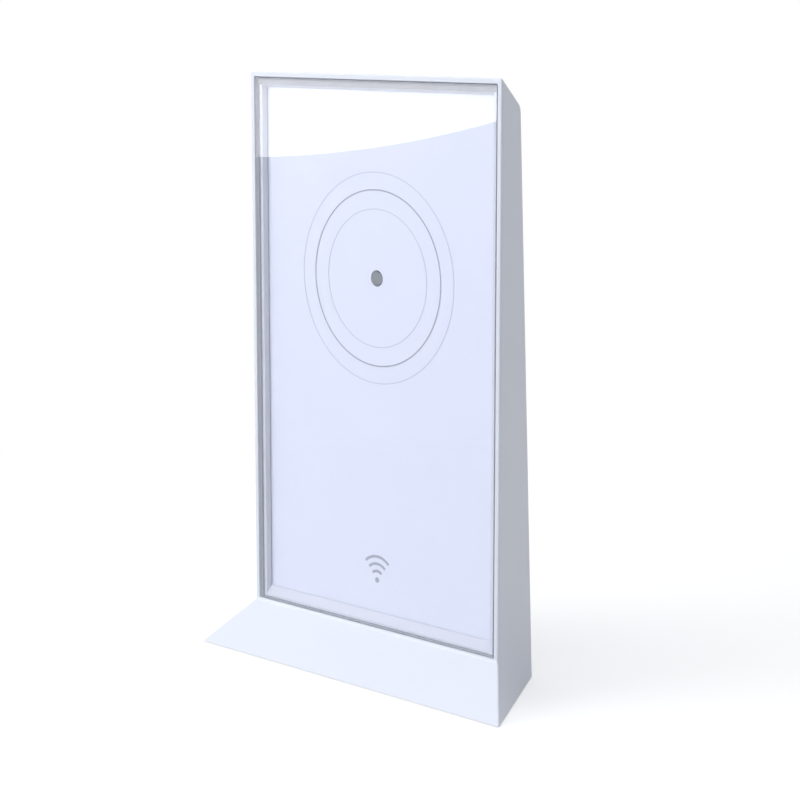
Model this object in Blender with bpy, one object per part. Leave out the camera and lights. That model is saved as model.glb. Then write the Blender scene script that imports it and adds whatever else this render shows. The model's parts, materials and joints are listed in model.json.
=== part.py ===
"""A tabletop wireless router: a white tapered tower on a flared foot.

Metres, +Z up. The front faces -Y, and +X is to the right of somebody who looks at the front.
The origin is on the table, under the middle of the overall box. Most places are given as
(x, depth, z), where depth runs back from the plane of the front rim.
"""

from itertools import combinations
from math import cos, pi, radians, sin, tan

import bmesh
import bpy
from mathutils import Matrix, Vector

MM = 0.001

# Driving dimensions of the housing
FRONT_WIDTH = 120 * MM
HEIGHT = 208 * MM
FOLD_HEIGHT = 16.1 * MM         # where the front bends out into the foot
FOOT_SIDE = 13.7 * MM           # the foot's run past each side of the front
FOOT_FORWARD = 14.5 * MM        # the foot's run ahead of the front
SIDE_TAPER = radians(25)        # the sides close in towards the back
TOP_SLOPE = radians(27.3)       # the top falls towards the back
REAR_TOP_DEPTH = 19 * MM
REAR_BOTTOM_DEPTH = 36.8 * MM
WALL = 1.8 * MM
LIP = 0.9 * MM                  # the shelf's edge below the window
SHELF_THICK = 1.9 * MM
EDGE_ROUND = 0.8 * MM
BACK_ROUND = 2.1 * MM           # the rounding of the top's back edge, along each face

# Clearances
GAP = 0.3 * MM                  # between two pieces that seat on each other
SLIDE_GAP = 0.4 * MM            # round the button's flange
LIFT = 0.3 * MM                 # the housing's edge above the table
BASE_RECESS = 0.2 * MM          # the base plate's face above the housing's edge
WINDOW_RECESS = 0.15 * MM

# The stack behind the rim
WINDOW_THICK = 1.5 * MM
SPACER_DEPTH = 1.7 * MM
SPACER_WALL = 1.4 * MM
SILL_RISE = 3.0 * MM            # the lower bar of the spacer slopes up by this to the panel
PANEL_THICK = 1.5 * MM
FRAME_THICK = 2.4 * MM
BOARD_STAND = 3.0 * MM          # the bosses between the frame and the board
BOARD_THICK = 1.6 * MM
BASE_THICK = 2.0 * MM

# The board and the frame that carries it
BOARD_SIDE_ROOM = 16 * MM       # from the front's side edges to the board's
BOARD_LOW = 32.7 * MM           # its lower screws lie below the sockets
BOARD_HIGH = 178 * MM
BOSS_INSET = 5 * MM             # boss centres from the board's sides
BOSS_RADIUS = 2.5 * MM
BOSS_BORE_REACH = 1.2 * MM      # how far a boss's bore runs on into the frame
FRAME_BORDER = 10 * MM          # from the board's edge to the frame's opening
CROSSBAR = 14 * MM

# The light
LENS_HEIGHT = 138.7 * MM
LENS_RADIUS = 2.5 * MM
LED_SIZE = 3.0 * MM
LED_THICK = 0.8 * MM

# Sockets and the button, in one row along the back
PORT_HEIGHT = 47 * MM
PORT_RECESS = 0.4 * MM
SOCKET_WIDTH = 16 * MM
SOCKET_TALL = 14 * MM
FIRST_SOCKET_START = 0 * MM     # the first socket's inner side
SOCKETS_APART = 3 * MM
CAVITY_WIDTH = 11.8 * MM
CAVITY_TALL = 7.6 * MM
CAVITY_DEEP = 13 * MM
NOTCH_WIDTH = 6.2 * MM
NOTCH_TALL = 2.4 * MM
CONTACT_COUNT = 8
CONTACT_PITCH = 1.02 * MM
CONTACT_WIDTH = 0.45 * MM
CONTACT_LENGTH = 9 * MM
INLET_X = -27 * MM
INLET_BODY = 12 * MM
INLET_COLLAR = 5.2 * MM
INLET_BORE = 3.2 * MM
INLET_BORE_DEEP = 9.5 * MM
INLET_PIN = 1.05 * MM
INLET_PIN_INSET = 2 * MM        # from the bore's mouth to the pin's tip
BUTTON_X = -9.5 * MM
BUTTON_RADIUS = 2.2 * MM
BUTTON_PROUD = 0.9 * MM         # the cap's end past the back face
BUTTON_TRAVEL = 0.8 * MM
FLANGE_RADIUS = 3.3 * MM
FLANGE_THICK = 1.0 * MM
STEM_RADIUS = 1.3 * MM
GUIDE_WALL = 1.0 * MM
GUIDE_LENGTH = 3.6 * MM
SWITCH_SIZE = 6 * MM
SWITCH_TALL = 3.6 * MM
PLUNGER_RADIUS = 1.6 * MM
PLUNGER_TALL = 1.9 * MM

# Screws
COVER_SCREW_HEIGHTS = (27 * MM, 186 * MM)
COVER_SCREW_INSET = 5 * MM      # from the cover's side edge
LUG_HALF = 3.6 * MM
HEAD_RADIUS = 2.3 * MM
HEAD_TALL = 1.0 * MM
SHANK_RADIUS = 1.2 * MM
SHANK_LENGTH = 6 * MM
FRAME_SHANK_LENGTH = 4.5 * MM
BOARD_SHANK_REACH = 2.6 * MM    # past the board, into its boss
SMALL_HEAD_RADIUS = 1.8 * MM
SMALL_HEAD_TALL = 1.1 * MM
SMALL_SHANK_RADIUS = 0.9 * MM
SINK_DEPTH = 1.2 * MM           # a head's pocket in a plate
BASE_BOSS_RADIUS = 3.2 * MM
FRONT_BOSS_X = 40 * MM
FRONT_BOSS_DEPTH = 3 * MM
REAR_BOSS_INSET = 11.8 * MM     # from the back's lower edge to the rear bosses' centres

# Cooling
SLOT_COUNT = 13
SLOT_WIDTH = 1.8 * MM
SLOT_PITCH = 4.4 * MM
SLOT_BANKS = ((66 * MM, 92 * MM), (150 * MM, 176 * MM))
SPREADER_LOW = 70 * MM
SPREADER_HIGH = 126 * MM
SPREADER_HALF = 33 * MM
SPREADER_STAND = 2.8 * MM
SPREADER_THICK = 1.5 * MM
FIN_COUNT = 11
FIN_THICK = 1.2 * MM
FIN_PITCH = 4.6 * MM
FIN_CLEAR = 1.9 * MM            # from the fins' tips to the cover
SPREADER_LEG_RADIUS = 2.4 * MM
SPREADER_LEG_INSET = 4.5 * MM

# Chips, cans and other parts on the board
PROCESSOR_SIZE = 16 * MM
PROCESSOR_THICK = 1.2 * MM
PROCESSOR_HEIGHT = 98 * MM
MEMORY_SIZE = (9 * MM, 12 * MM)
MEMORY_THICK = 1.0 * MM
MEMORY_X = 19 * MM
CAN_WIDTH = 33 * MM
CAN_INNER_X = 5 * MM
CAN_HEIGHTS = (134 * MM, 164 * MM)
CAN_TALL = 2.6 * MM
CAN_WALL = 0.5 * MM
COIL_PLACE = (-36 * MM, 62 * MM)
COIL_SIZE = 10 * MM
COIL_TALL = 4.8 * MM
COIL_ROUND = 1.2 * MM
CAPACITOR_RADIUS = 3.15 * MM
CAPACITOR_TALL = 7.7 * MM
CAPACITOR_PLACES = ((-22 * MM, 61 * MM), (-13 * MM, 61 * MM), (36 * MM, 62 * MM))

# Antennas
ANTENNA_THICK = 0.8 * MM
ANTENNA_HEIGHTS = (118 * MM, 162 * MM)
ANTENNA_DEPTHS = (9.4 * MM, 17 * MM)
TOP_ANTENNA_HALF = 25 * MM
TOP_ANTENNA_DEPTHS = (9.4 * MM, 15.5 * MM)
CONNECTOR_RADIUS = 1.3 * MM
CONNECTOR_TALL = 1.6 * MM
CONNECTOR_X = 30 * MM
CONNECTOR_BELOW_EDGE = 6 * MM
LEAD_RADIUS = 0.6 * MM
LEAD_CLEAR = 0.6 * MM           # from a lead's end to its antenna's face, along its slanted end
LEAD_END_HEIGHT = 150 * MM
LEAD_END_DEPTH = 13 * MM

# Feet
PAD_RADIUS = 5 * MM
PAD_THICK = 1.3 * MM
PAD_ROUND = 0.3 * MM
PAD_SIDE_INSET = 4 * MM         # from the front's side edges to the front pads' centres
PAD_TOE_INSET = 9.5 * MM        # from the foot's front edge to the front pads' centres
PAD_HEEL_INSET = 10.8 * MM      # from the back's lower edge to the rear pads' centres
REAR_PAD_X = 27 * MM

# Values that follow from the ones above
FRONT_Y = (FOOT_FORWARD - REAR_BOTTOM_DEPTH) / 2
SHELF_TOP = FOLD_HEIGHT + LIP
REAR_TOP_HEIGHT = HEIGHT - REAR_TOP_DEPTH * tan(TOP_SLOPE)
REAR_SLOPE = (REAR_BOTTOM_DEPTH - REAR_TOP_DEPTH) / (REAR_TOP_HEIGHT - LIFT)
WINDOW_BACK = WINDOW_RECESS + WINDOW_THICK
SPACER_FRONT = WINDOW_BACK + GAP
PANEL_FRONT = SPACER_FRONT + SPACER_DEPTH + GAP
PANEL_BACK = PANEL_FRONT + PANEL_THICK
FRAME_FRONT = PANEL_BACK + GAP
FRAME_BACK = FRAME_FRONT + FRAME_THICK
BOARD_FRONT = FRAME_BACK + BOARD_STAND + GAP
BOARD_BACK = BOARD_FRONT + BOARD_THICK
MOUNT_DEPTH = BOARD_BACK + GAP          # where parts on the back of the board begin
SPREADER_FRONT = MOUNT_DEPTH + SPREADER_STAND
BOARD_HALF = FRONT_WIDTH / 2 - BOARD_SIDE_ROOM
FIRST_SOCKET_X = FIRST_SOCKET_START + SOCKET_WIDTH / 2
SOCKET_PLACES = {"network_socket_1": FIRST_SOCKET_X,
                 "network_socket_2": FIRST_SOCKET_X + SOCKET_WIDTH + SOCKETS_APART}
REAR_BOSS_DEPTH = REAR_BOTTOM_DEPTH - REAR_BOSS_INSET
FRONT_PAD_X = FRONT_WIDTH / 2 - PAD_SIDE_INSET
FRONT_PAD_DEPTH = PAD_TOE_INSET - FOOT_FORWARD
REAR_PAD_DEPTH = REAR_BOTTOM_DEPTH - PAD_HEEL_INSET
PAD_PLACES = {"foot_pad_front_left": (-FRONT_PAD_X, FRONT_PAD_DEPTH),
              "foot_pad_front_right": (FRONT_PAD_X, FRONT_PAD_DEPTH),
              "foot_pad_rear_left": (-REAR_PAD_X, REAR_PAD_DEPTH),
              "foot_pad_rear_right": (REAR_PAD_X, REAR_PAD_DEPTH)}
BASE_LOW = LIFT + BASE_RECESS
BASE_TOP = BASE_LOW + BASE_THICK
SHELF_BACK = FRAME_FRONT                # the shelf reaches back to the frame
BEYOND = FRONT_WIDTH                    # past the housing, for cutters
CUT_REACH = 8 * WALL                    # how far a cutter runs through the leaning cover
TOUCHING = 0.001 * MM                   # points this near a plane lie on it
OVERLAP = 0.5 * MM                      # how far fused shapes run into each other
ROUND_STEPS = 20
SCREW_STEPS = 12
PARALLEL = 1e-6                         # planes with a smaller determinant meet at no point
FLAT = radians(0.06)                    # faces that turn less than this are one
BEND = radians(20)              # edges that turn more than this are rounded
TIP_ROUND = 0.4 * MM            # the chamfer on small turned parts


def side_half(depth, inset=0.0):
    """Half the width between the side walls at a depth, less an inset square to the wall."""
    return FRONT_WIDTH / 2 - depth * tan(SIDE_TAPER) - inset / cos(SIDE_TAPER)


def rear_depth(height, inset=0.0):
    """Depth of the leaning back face at a height, less an inset square to it."""
    lean = (1 + REAR_SLOPE ** 2) ** 0.5
    return REAR_BOTTOM_DEPTH - (height - LIFT) * REAR_SLOPE - inset * lean


def spot(x, depth, z):
    return Vector((x, FRONT_Y + depth, z))


# ---------------------------------------------------------------- planes and solids

def plane_through(a, b, c, inside):
    """The (outward normal, distance) of the plane through three points."""
    normal = (b - a).cross(c - a).normalized()
    if normal.dot(inside - a) > 0:
        normal = -normal
    return normal, normal.dot(a)


def inset(plane, amount):
    normal, distance = plane
    return normal, distance - amount


def limits(x=None, depth=None, z=None):
    """Planes that keep a solid between pairs of x, depth and z."""
    planes = []
    pairs = ((Vector((1, 0, 0)), x, 0.0), (Vector((0, 1, 0)), depth, FRONT_Y), (Vector((0, 0, 1)), z, 0.0))
    for axis, pair, start in pairs:
        if pair is not None:
            low, high = pair
            planes.append((-axis, -(low + start)))
            planes.append((axis, high + start))
    return planes


def convex(planes):
    """A mesh of the convex solid that lies inside all the planes."""
    bm = bmesh.new()
    for trio in combinations(planes, 3):
        rows = Matrix([normal for normal, _ in trio])
        if abs(rows.determinant()) < PARALLEL:
            continue
        corner = rows.inverted() @ Vector([distance for _, distance in trio])
        if all(normal.dot(corner) <= distance + TOUCHING for normal, distance in planes):
            bm.verts.new(corner)
    bmesh.ops.remove_doubles(bm, verts=bm.verts, dist=2 * TOUCHING)
    bmesh.ops.convex_hull(bm, input=bm.verts)
    bmesh.ops.dissolve_limit(bm, angle_limit=FLAT, verts=bm.verts, edges=bm.edges)
    return bm


def box(size_x, size_y, size_z):
    bm = bmesh.new()
    bmesh.ops.create_cube(bm, size=1.0, matrix=Matrix.Diagonal((size_x, size_y, size_z, 1.0)))
    return bm


def drawn_up(outline, height):
    """A level outline drawn straight up to a height."""
    bm = bmesh.new()
    face = bm.faces.new([bm.verts.new(point) for point in outline])
    grown = bmesh.ops.extrude_face_region(bm, geom=[face])
    moved = [item for item in grown["geom"] if isinstance(item, bmesh.types.BMVert)]
    bmesh.ops.translate(bm, verts=moved, vec=(0, 0, height))
    return bm


def turn(bm, profile, frame=Matrix.Identity(4), steps=ROUND_STEPS):
    """Add a solid turned about the frame's Z from (radius, height) pairs, lowest first."""
    rings = []
    for radius, height in profile:
        angles = [2 * pi * step / steps for step in range(steps)]
        rings.append([bm.verts.new(frame @ Vector((radius * cos(a), radius * sin(a), height)))
                      for a in angles])
    bm.faces.new(reversed(rings[0]))
    bm.faces.new(rings[-1])
    for lower, upper in zip(rings, rings[1:]):
        for k in range(steps):
            after = (k + 1) % steps
            bm.faces.new((lower[k], lower[after], upper[after], upper[k]))
    return bm


def facing(point, direction):
    """A frame at a point with its Z along a direction."""
    turned = Vector(direction).to_track_quat("Z", "Y").to_matrix().to_4x4()
    return Matrix.Translation(point) @ turned


# ---------------------------------------------------------------- objects

def clear_scene():
    for thing in list(bpy.data.objects):
        bpy.data.objects.remove(thing, do_unlink=True)


def material(name, colour, roughness, metallic=0.0, alpha=1.0):
    made = bpy.data.materials.new(name)
    made.use_nodes = True
    shader = made.node_tree.nodes["Principled BSDF"]
    shader.inputs["Base Color"].default_value = (*colour, 1.0)
    shader.inputs["Roughness"].default_value = roughness
    shader.inputs["Metallic"].default_value = metallic
    shader.inputs["Alpha"].default_value = alpha
    return made


def add(name, bm, finish=None, frame=None, parent=None, smooth=False):
    """Make an object from a mesh. Its frame is its place, and it may have a parent."""
    bmesh.ops.recalc_face_normals(bm, faces=bm.faces)
    mesh = bpy.data.meshes.new(name)
    bm.to_mesh(mesh)
    bm.free()
    if smooth:
        mesh.shade_smooth()
        mesh.set_sharp_from_angle(angle=radians(35))
    thing = bpy.data.objects.new(name, mesh)
    bpy.context.scene.collection.objects.link(thing)
    thing.parent = parent
    if frame is not None:
        thing.matrix_basis = frame
    if finish is not None:
        mesh.materials.append(finish)
    return thing


def add_copies(bm, places, finish, parent):
    """Objects that share one mesh, each at its own frame. places maps a name to a frame."""
    mesh = None
    for name, frame in places.items():
        if mesh is None:
            mesh = add(name, bm, finish, frame, parent, smooth=True).data
            continue
        thing = bpy.data.objects.new(name, mesh)
        bpy.context.scene.collection.objects.link(thing)
        thing.parent = parent
        thing.matrix_basis = frame


def combine(target, tool, operation):
    """Fuse a tool into a target or cut it away. The tool stays as a hidden guide."""
    tool.hide_render = True
    tool.display_type = "WIRE"
    tool.parent = target.parent
    step = target.modifiers.new(tool.name, "BOOLEAN")
    step.object = tool
    step.operation = operation
    step.solver = "EXACT"


def cut(target, bm, frame=None):
    combine(target, add(target.name + "_cut", bm, frame=frame), "DIFFERENCE")


def fuse(target, bm, frame=None):
    combine(target, add(target.name + "_boss", bm, frame=frame), "UNION")


def rod(radius, length, steps=ROUND_STEPS):
    return turn(bmesh.new(), ((radius, 0.0), (radius, length)), steps=steps)


def cut_bore(target, point, direction, radius, length):
    cut(target, rod(radius, length), facing(point, direction))


BACKWARDS = (0, 1, 0)
FORWARDS = (0, -1, 0)
UPWARDS = (0, 0, 1)


# ---------------------------------------------------------------- the housing's planes

def housing_corners():
    """The ten corners of the outer shape, keyed by side and name."""
    corners = {}
    for side, sign in (("left", -1), ("right", 1)):
        foot_x = sign * (FRONT_WIDTH / 2 + FOOT_SIDE)
        corners[side, "top"] = spot(sign * FRONT_WIDTH / 2, 0, HEIGHT)
        corners[side, "fold"] = spot(sign * FRONT_WIDTH / 2, 0, FOLD_HEIGHT)
        corners[side, "toe"] = spot(foot_x, -FOOT_FORWARD, LIFT)
        corners[side, "heel"] = spot(sign * side_half(REAR_BOTTOM_DEPTH), REAR_BOTTOM_DEPTH, LIFT)
        corners[side, "crown"] = spot(sign * side_half(REAR_TOP_DEPTH), REAR_TOP_DEPTH, REAR_TOP_HEIGHT)
    return corners


def housing_planes(corners):
    middle = spot(0, REAR_TOP_DEPTH / 2, LIFT)
    left = {name: place for (side, name), place in corners.items() if side == "left"}
    right = {name: place for (side, name), place in corners.items() if side == "right"}
    planes = {
        "top": plane_through(left["top"], right["top"], right["crown"], middle),
        "rear": plane_through(left["crown"], right["crown"], right["heel"], middle),
        "chin": plane_through(left["fold"], right["fold"], right["toe"], middle),
    }
    for side, own in (("left", left), ("right", right)):
        planes["side_" + side] = plane_through(own["top"], own["fold"], own["heel"], middle)
        planes["skirt_" + side] = plane_through(own["toe"], own["fold"], own["heel"], middle)
    return planes


CORNERS = housing_corners()
PLANES = housing_planes(CORNERS)


def tower_limits(amount, depth, low=SHELF_TOP):
    """Planes of the space between the side walls and under the top, inset by an amount."""
    sides = [inset(PLANES[name], amount) for name in ("side_left", "side_right", "top")]
    return sides + limits(depth=depth, z=(low, HEIGHT + BEYOND))


def foot_limits(amount, low, high):
    """Planes of the space inside the flared foot, inset by an amount."""
    sides = [inset(PLANES[name], amount) for name in ("chin", "skirt_left", "skirt_right")]
    return sides + limits(depth=(-BEYOND, BEYOND), z=(low, high))


def cover_screw_spots():
    """(sign, x, z) of the four screws that hold the back cover."""
    places = []
    for height in COVER_SCREW_HEIGHTS:
        x = side_half(rear_depth(height), WALL + GAP) - COVER_SCREW_INSET
        places += [(-1, -x, height), (1, x, height)]
    return places


def board_screw_spots():
    x = BOARD_HALF - BOSS_INSET
    return [(sign * x, height) for sign in (-1, 1)
            for height in (BOARD_LOW + BOSS_INSET, BOARD_HIGH - BOSS_INSET)]


def base_screw_spots():
    """(x, depth) of the four screws that hold the base plate."""
    rear_x = cover_screw_spots()[1][1]
    return [(sign * x, depth) for sign in (-1, 1)
            for x, depth in ((FRONT_BOSS_X, FRONT_BOSS_DEPTH), (rear_x, REAR_BOSS_DEPTH))]


# ---------------------------------------------------------------- housing

def outer_shape():
    """The closed outer shape of the housing, with its edges rounded."""
    bm = bmesh.new()
    points = {key: bm.verts.new(place) for key, place in CORNERS.items()}
    left = {name: vert for (side, name), vert in points.items() if side == "left"}
    right = {name: vert for (side, name), vert in points.items() if side == "right"}
    for own in (left, right):
        bm.faces.new((own["top"], own["fold"], own["heel"], own["crown"]))
        bm.faces.new((own["fold"], own["toe"], own["heel"]))
    rings = ("crown", "top", "fold", "toe", "heel", "crown")
    for upper, lower in zip(rings, rings[1:]):
        bm.faces.new((left[upper], right[upper], right[lower], left[lower]))
    bmesh.ops.recalc_face_normals(bm, faces=bm.faces)
    back_edge = [edge for edge in bm.edges if set(edge.verts) == {left["crown"], right["crown"]}]
    bmesh.ops.bevel(bm, geom=back_edge, offset=BACK_ROUND, segments=5, profile=0.5, affect="EDGES")
    sharp = [edge for edge in bm.edges if edge.calc_face_angle() > BEND
             and any(vert.co.z > LIFT + TOUCHING for vert in edge.verts)]
    bmesh.ops.bevel(bm, geom=sharp, offset=EDGE_ROUND, segments=4, profile=0.5, affect="EDGES")
    return bm


def tower_hollow():
    """The room between the side walls: open at the front above the shelf, and at the back and below."""
    normal, distance = inset(PLANES["top"], WALL)
    front = -FOOT_FORWARD / 2
    outline = [(front, SHELF_TOP), (SHELF_BACK, SHELF_TOP), (SHELF_BACK, -BEYOND), (BEYOND, -BEYOND)]
    for depth in (BEYOND, front):
        outline.append((depth, (distance - normal.y * (FRONT_Y + depth)) / normal.z))
    bm = bmesh.new()
    wide = FRONT_WIDTH + BEYOND
    face = bm.faces.new([bm.verts.new(spot(-wide, depth, z)) for depth, z in outline])
    grown = bmesh.ops.extrude_face_region(bm, geom=[face])
    moved = [item for item in grown["geom"] if isinstance(item, bmesh.types.BMVert)]
    bmesh.ops.translate(bm, verts=moved, vec=(2 * wide, 0, 0))
    for name in ("side_left", "side_right"):
        normal, distance = inset(PLANES[name], WALL)
        everything = list(bm.verts) + list(bm.edges) + list(bm.faces)
        sliced = bmesh.ops.bisect_plane(bm, geom=everything, plane_co=normal * distance, plane_no=normal,
                                        clear_outer=True)
        edges = [item for item in sliced["geom_cut"] if isinstance(item, bmesh.types.BMEdge)]
        bmesh.ops.contextual_create(bm, geom=edges)
    return bm


def housing_shell(finish, parent):
    shell = add("housing_shell", outer_shape(), finish, parent=parent, smooth=True)
    cut(shell, tower_hollow())
    cut(shell, convex(foot_limits(WALL, -BEYOND, SHELF_TOP - SHELF_THICK)))
    for sign, x, height in cover_screw_spots():
        side = "side_right" if sign > 0 else "side_left"
        across = (x - LUG_HALF, BEYOND) if sign > 0 else (-BEYOND, x + LUG_HALF)
        planes = limits(x=across, depth=(FRAME_BACK + GAP, BEYOND),
                        z=(height - LUG_HALF, height + LUG_HALF))
        planes += [inset(PLANES[side], WALL - OVERLAP), inset(PLANES["rear"], WALL + GAP)]
        fuse(shell, convex(planes))
    for x, depth in base_screw_spots():
        front = depth == FRONT_BOSS_DEPTH
        top = SHELF_TOP - OVERLAP if front else COVER_SCREW_HEIGHTS[0] - LUG_HALF + OVERLAP
        low = BASE_TOP + GAP
        fuse(shell, rod(BASE_BOSS_RADIUS, top - low), facing(spot(x, depth, low), UPWARDS))
        cut_bore(shell, spot(x, depth, low - OVERLAP), UPWARDS,
                 SHANK_RADIUS + GAP, SHANK_LENGTH + 2 * OVERLAP)
    for _, x, height in cover_screw_spots():
        cut_bore(shell, spot(x, 0, height), BACKWARDS, SHANK_RADIUS + GAP, BEYOND)


def rear_cover(finish, parent):
    planes = tower_limits(WALL + GAP, (0, BEYOND), low=LIFT) + [PLANES["rear"]]
    normal, distance = inset(PLANES["rear"], WALL)
    planes.append((-normal, -distance))
    cover = add("rear_cover", convex(planes), finish, parent=parent)
    for low, high in SLOT_BANKS:
        slots = bmesh.new()
        for k in range(SLOT_COUNT):
            x = (k - (SLOT_COUNT - 1) / 2) * SLOT_PITCH
            place = Matrix.Translation(spot(x, rear_depth((low + high) / 2), (low + high) / 2))
            size = Matrix.Diagonal((SLOT_WIDTH, CUT_REACH, high - low, 1.0))
            bmesh.ops.create_cube(slots, size=1.0, matrix=place @ size)
        cut(cover, slots)
    for x in SOCKET_PLACES.values():
        hole = box(SOCKET_WIDTH + 2 * GAP, CUT_REACH, SOCKET_TALL + 2 * GAP)
        cut(cover, hole, Matrix.Translation(spot(x, rear_depth(PORT_HEIGHT), PORT_HEIGHT)))
    inside = rear_depth(PORT_HEIGHT) - CUT_REACH / 2
    cut_bore(cover, spot(INLET_X, inside, PORT_HEIGHT), BACKWARDS, INLET_COLLAR + GAP, CUT_REACH)
    guide_radius = FLANGE_RADIUS + SLIDE_GAP + GUIDE_WALL
    guide_start = rear_depth(PORT_HEIGHT, WALL) - GUIDE_LENGTH
    guide = rod(guide_radius, GUIDE_LENGTH + WALL / 2)
    fuse(cover, guide, facing(spot(BUTTON_X, guide_start, PORT_HEIGHT), BACKWARDS))
    flange_room = button_flange_back() + GAP - guide_start + OVERLAP
    cut_bore(cover, spot(BUTTON_X, guide_start - OVERLAP, PORT_HEIGHT), BACKWARDS,
             FLANGE_RADIUS + SLIDE_GAP, flange_room)
    cut_bore(cover, spot(BUTTON_X, inside, PORT_HEIGHT), BACKWARDS, BUTTON_RADIUS + GAP, CUT_REACH)
    for _, x, height in cover_screw_spots():
        cut_bore(cover, spot(x, 0, height), BACKWARDS, SHANK_RADIUS + GAP, BEYOND)
        pocket = rear_depth(height) - SINK_DEPTH
        cut_bore(cover, spot(x, pocket, height), BACKWARDS, HEAD_RADIUS + GAP, CUT_REACH / 2)


def base_plate(finish, parent):
    planes = foot_limits(WALL + GAP, BASE_LOW, BASE_TOP) + [inset(PLANES["rear"], WALL + GAP)]
    plate = add("base_plate", convex(planes), finish, parent=parent)
    for x, depth in base_screw_spots():
        cut_bore(plate, spot(x, depth, 0), UPWARDS, SHANK_RADIUS + GAP, BEYOND)
        cut_bore(plate, spot(x, depth, 0), UPWARDS, HEAD_RADIUS + GAP, BASE_LOW + SINK_DEPTH)
    for x, depth in PAD_PLACES.values():
        cut_bore(plate, spot(x, depth, 0), UPWARDS, PAD_RADIUS + GAP, PAD_THICK + GAP)


def foot_pads(finish, parent):
    profile = ((PAD_RADIUS - PAD_ROUND, 0.0), (PAD_RADIUS, PAD_ROUND), (PAD_RADIUS, PAD_THICK))
    places = {name: Matrix.Translation(spot(x, depth, 0)) for name, (x, depth) in PAD_PLACES.items()}
    add_copies(turn(bmesh.new(), profile), places, finish, parent)


# ---------------------------------------------------------------- front stack

def front_window(finish, parent):
    planes = tower_limits(WALL + GAP, (WINDOW_RECESS, WINDOW_BACK), low=SHELF_TOP + GAP)
    add("front_window", convex(planes), finish, parent=parent)


def window_spacer(finish, parent):
    depth = (SPACER_FRONT, SPACER_FRONT + SPACER_DEPTH)
    spacer = add("window_spacer", convex(tower_limits(WALL + GAP, depth, low=SHELF_TOP + GAP)),
                 finish, parent=parent)
    low = SHELF_TOP + GAP + SPACER_WALL
    sill_slope = SILL_RISE / SPACER_DEPTH
    sill = (Vector((0, sill_slope, -1)), sill_slope * spot(0, SPACER_FRONT, 0).y - low)
    cut(spacer, convex(tower_limits(WALL + GAP + SPACER_WALL, (0, BEYOND), low=low) + [sill]))


def face_panel(finish, parent):
    planes = tower_limits(WALL + GAP, (PANEL_FRONT, PANEL_BACK), low=SHELF_TOP + GAP)
    panel = add("face_panel", convex(planes), finish, parent=parent)
    cut_bore(panel, spot(0, 0, LENS_HEIGHT), BACKWARDS, LENS_RADIUS + GAP, BEYOND)


def status_light(lens_finish, led_finish, parent):
    led_depth = BOARD_FRONT - GAP - LED_THICK
    lens = rod(LENS_RADIUS, led_depth - GAP - PANEL_FRONT)
    place = facing(spot(0, PANEL_FRONT, LENS_HEIGHT), BACKWARDS)
    add("status_lens", lens, lens_finish, place, parent, smooth=True)
    place = Matrix.Translation(spot(0, led_depth + LED_THICK / 2, LENS_HEIGHT))
    add("status_led", box(LED_SIZE, LED_THICK, LED_SIZE), led_finish, place, parent)


def inner_frame(finish, parent):
    planes = tower_limits(WALL + GAP, (FRAME_FRONT, FRAME_BACK), low=SHELF_TOP + GAP)
    frame = add("inner_frame", convex(planes), finish, parent=parent)
    pocket = FRAME_FRONT + HEAD_TALL + 2 * GAP
    profile = ((HEAD_RADIUS + GAP, 0.0), (HEAD_RADIUS + GAP, pocket),
               (SHANK_RADIUS + GAP, pocket), (SHANK_RADIUS + GAP, BEYOND))
    for _, x, height in cover_screw_spots():
        cut(frame, turn(bmesh.new(), profile), facing(spot(x, 0, height), BACKWARDS))
    half = BOARD_HALF - FRAME_BORDER
    bar = (LENS_HEIGHT - CROSSBAR / 2, LENS_HEIGHT + CROSSBAR / 2)
    spans = ((BOARD_LOW + FRAME_BORDER, bar[0]), (bar[1], BOARD_HIGH - FRAME_BORDER))
    for span in spans:
        cut(frame, convex(limits(x=(-half, half), depth=(0, BEYOND), z=span)))
    for x, height in board_screw_spots():
        start = FRAME_BACK - OVERLAP
        fuse(frame, rod(BOSS_RADIUS, BOARD_STAND + OVERLAP), facing(spot(x, start, height), BACKWARDS))
        hole_depth = BOARD_STAND + BOSS_BORE_REACH
        cut_bore(frame, spot(x, FRAME_BACK + BOARD_STAND - hole_depth, height), BACKWARDS,
                 SMALL_SHANK_RADIUS + GAP, hole_depth + OVERLAP)
    cut_bore(frame, spot(0, 0, LENS_HEIGHT), BACKWARDS, LENS_RADIUS + GAP, BEYOND)


# ---------------------------------------------------------------- the board and what it carries

def main_board(finish, parent):
    height = BOARD_HIGH - BOARD_LOW
    place = Matrix.Translation(spot(0, (BOARD_FRONT + BOARD_BACK) / 2, BOARD_LOW + height / 2))
    board = add("main_board", box(2 * BOARD_HALF, BOARD_THICK, height), finish, place, parent)
    for x, z in board_screw_spots():
        cut_bore(board, spot(x, 0, z), BACKWARDS, SMALL_SHANK_RADIUS + GAP, BEYOND)


def on_board(name, x, z, size_x, size_z, tall, finish, parent):
    """A plain rectangular part that sits on the back of the board."""
    place = Matrix.Translation(spot(x, MOUNT_DEPTH + tall / 2, z))
    return add(name, box(size_x, tall, size_z), finish, place, parent)


def chips(finish, parent):
    on_board("processor", 0, PROCESSOR_HEIGHT, PROCESSOR_SIZE, PROCESSOR_SIZE, PROCESSOR_THICK,
             finish, parent)
    for name, sign in (("memory_chip_1", -1), ("memory_chip_2", 1)):
        on_board(name, sign * MEMORY_X, PROCESSOR_HEIGHT, *MEMORY_SIZE, MEMORY_THICK, finish, parent)


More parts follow.
